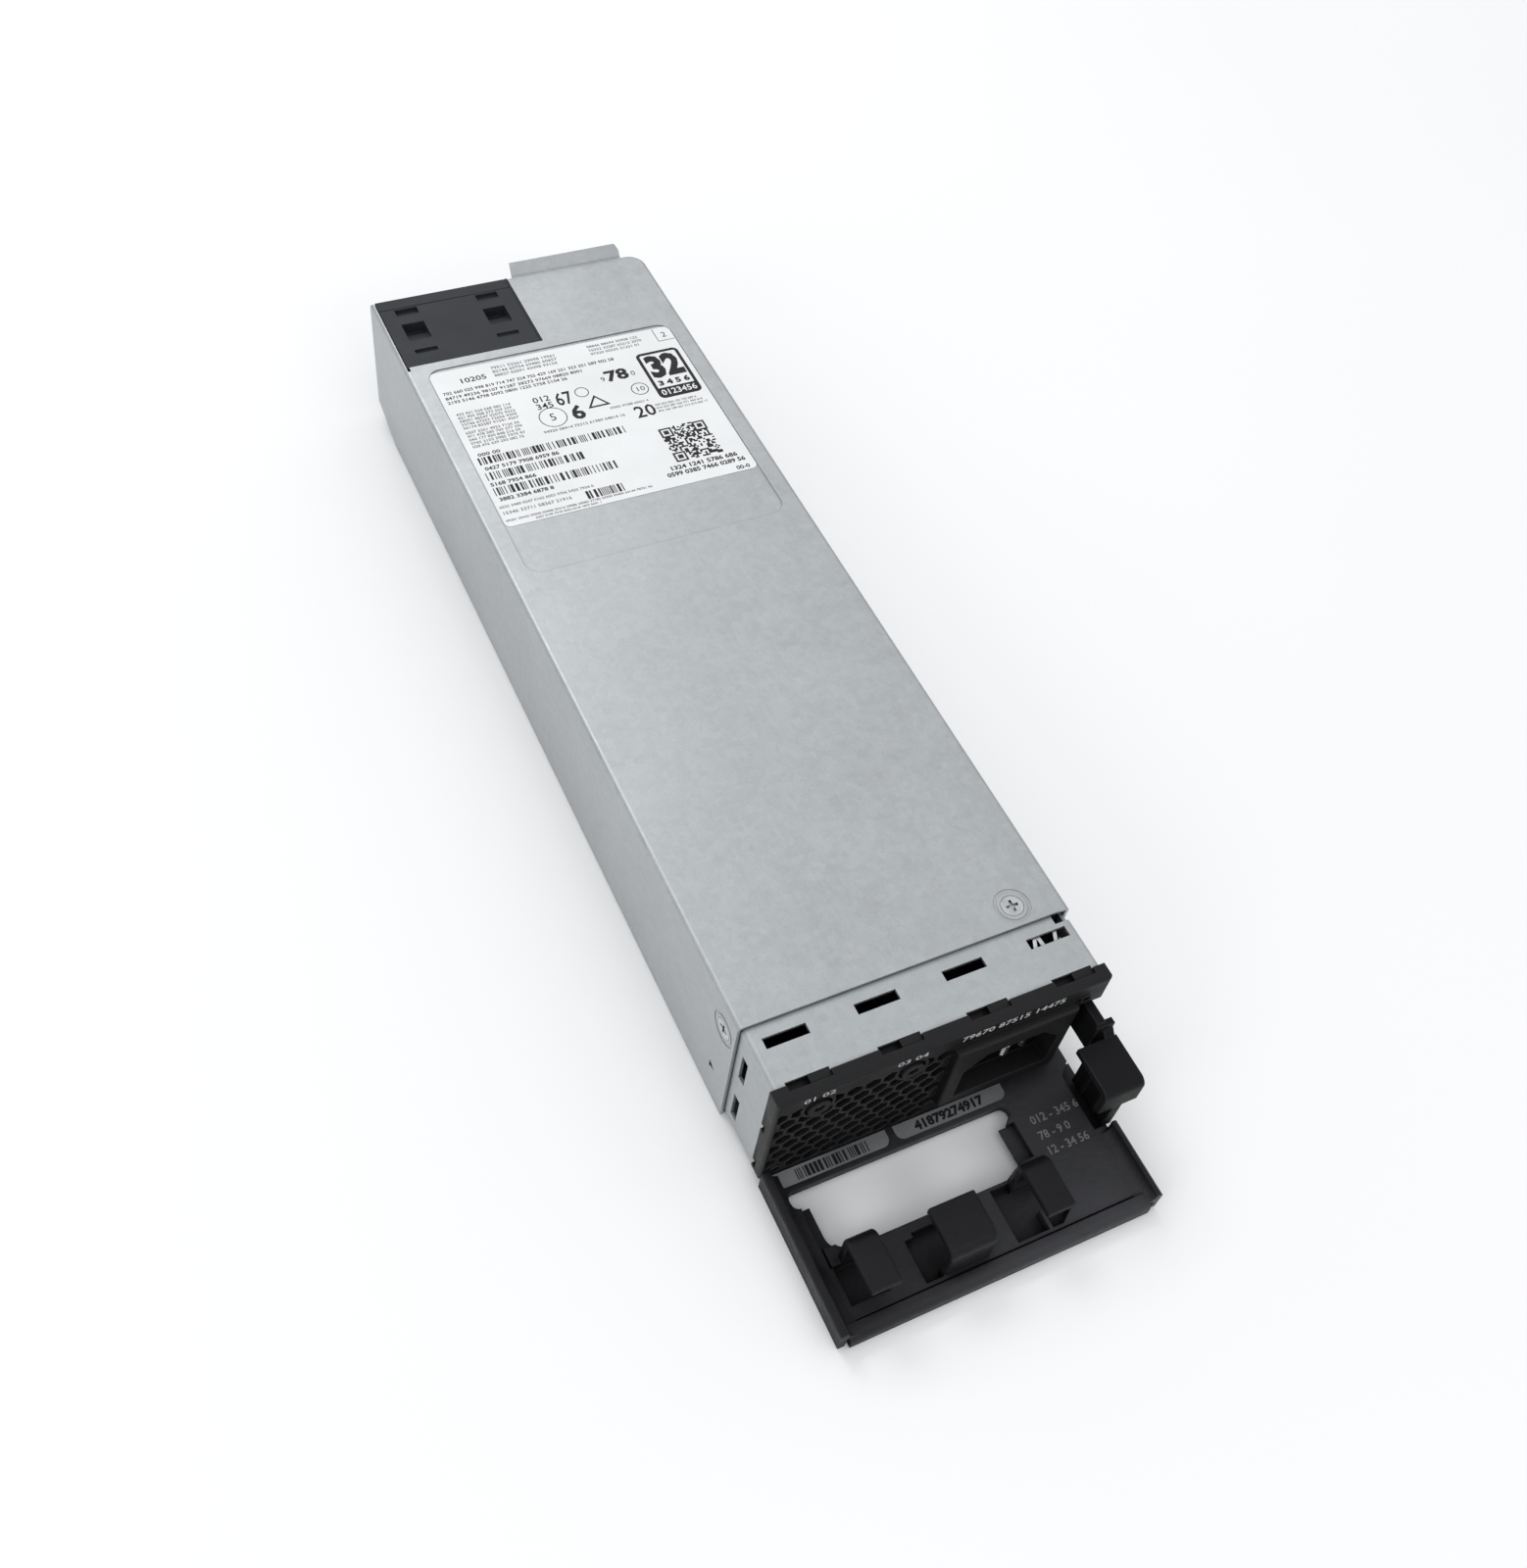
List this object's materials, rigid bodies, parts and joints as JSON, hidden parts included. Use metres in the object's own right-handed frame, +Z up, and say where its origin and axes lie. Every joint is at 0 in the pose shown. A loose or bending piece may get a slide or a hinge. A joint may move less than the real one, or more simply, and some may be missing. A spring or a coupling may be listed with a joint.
{
  "type": "switching power supply",
  "caption": "Slim hot-swap power module: galvanised steel shell, black grille bezel with power inlet, moulded cord tray with hooks, squeeze latch and a plug-in rear connector.",
  "frame": {"origin": "centre of the main shell's flat underside, halfway along the shell", "axes": "+Z up, +Y to the rear where the output connector is, +X to the right as seen from the front grille"},
  "size_m": [0.0826, 0.3099, 0.0431],
  "materials": {
    "zinc_steel": "dull galvanised sheet, fine mottled grain",
    "screw_steel": "bright zinc plate",
    "black_plastic": "fine spark-eroded texture",
    "connector_plastic": "smooth matte",
    "socket_plastic": "smooth matte",
    "clear_plastic": "clear light pipe, unlit",
    "nickel": "nickel plate",
    "copper": "bare copper alloy",
    "fan_plastic": "moulded, satin",
    "circuit_board": "green solder resist",
    "yellow_film": "epoxy-filled box",
    "insulator_film": "smooth polymer film",
    "ferrite": "dull ferrite",
    "enamel_wire": "enamelled copper wire",
    "tape": "polyester tape",
    "capacitor_sleeve": "shrink sleeve",
    "heatsink_aluminium": "extruded, plain",
    "epoxy_package": "moulded epoxy"
  },
  "bodies": {
    "housing": {"top_cover": "zinc_steel", "base_tray": "zinc_steel", "rear_panel": "zinc_steel", "front_collar": "zinc_steel", "cover_screws": "screw_steel", "front_bezel": "black_plastic", "status_lenses": "clear_plastic", "inlet_housing": "socket_plastic", "inlet_pins": "nickel", "inlet_links": "copper", "cord_tray": "black_plastic", "latch_pin": "screw_steel", "fan_frame": "fan_plastic", "main_board": "circuit_board", "board_standoffs": "screw_steel", "board_screws": "screw_steel", "insulating_sheet": "insulator_film", "choke_cores": "ferrite", "choke_windings": "enamel_wire", "film_capacitors": "yellow_film", "bulk_capacitors": "capacitor_sleeve", "output_capacitors": "capacitor_sleeve", "heatsinks": "heatsink_aluminium", "power_transistors": "epoxy_package", "transformer_core": "ferrite", "transformer_winding": "tape", "control_card": "circuit_board", "output_connector": "connector_plastic", "output_contacts": "copper"},
    "fan_rotor": {"fan_rotor": "fan_plastic"},
    "release_latch": {"release_latch": "black_plastic"}
  },
  "joints": [
    {"name": "fan_spin", "type": "hinge", "parent": "housing", "child": "fan_rotor", "pos_m": [-0.0203, -0.10615, 0.02005], "axis": [0, 1, 0], "continuous": true},
    {"name": "latch_squeeze", "type": "hinge", "parent": "housing", "child": "release_latch", "pos_m": [0.0373, -0.12215, 0.02], "axis": [0, 0, -1], "range_deg": [0, 2.6], "stiffness_Nm_per_rad": 5}
  ]
}
